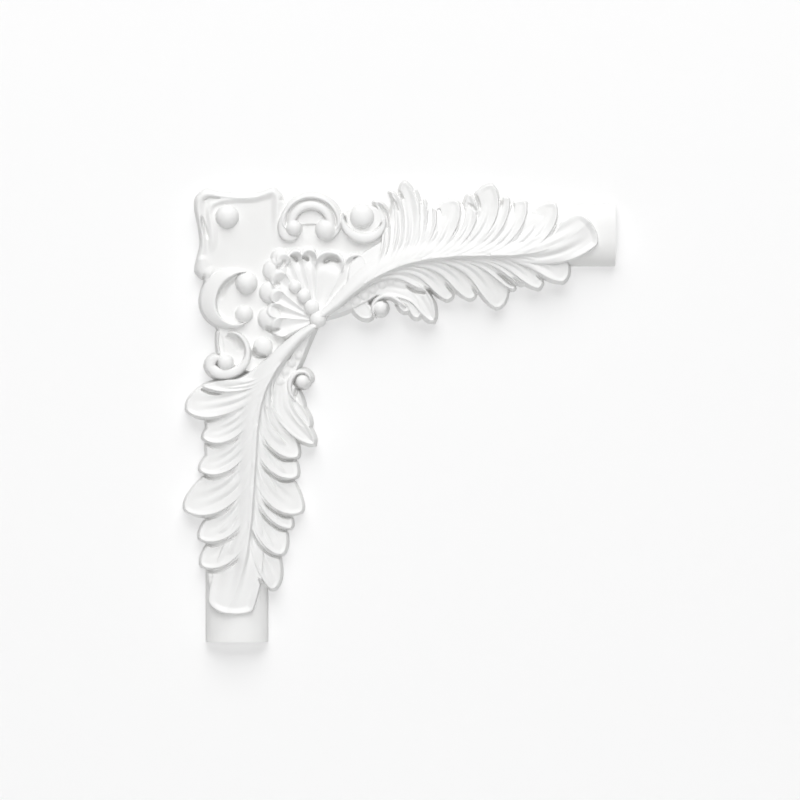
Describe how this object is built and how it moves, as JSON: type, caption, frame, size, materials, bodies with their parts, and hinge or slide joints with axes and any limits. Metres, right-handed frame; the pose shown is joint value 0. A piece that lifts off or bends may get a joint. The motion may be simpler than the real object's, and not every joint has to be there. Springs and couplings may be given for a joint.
{
  "type": "moulding corner",
  "caption": "Cast relief corner joining two runs of wall panel moulding, with long acanthus leaves, a shell and scrolls.",
  "frame": {"origin": "on the wall face, where the centre lines of the two moulding runs cross", "axes": "+X along the top run, -Z down the side run, +Y into the wall, so the relief stands towards -Y"},
  "size_m": [0.3027, 0.0217, 0.323],
  "materials": {
    "primed_white": "matte white primer"
  },
  "bodies": {
    "root": {"moulding_corner": "primed_white"}
  },
  "joints": []
}
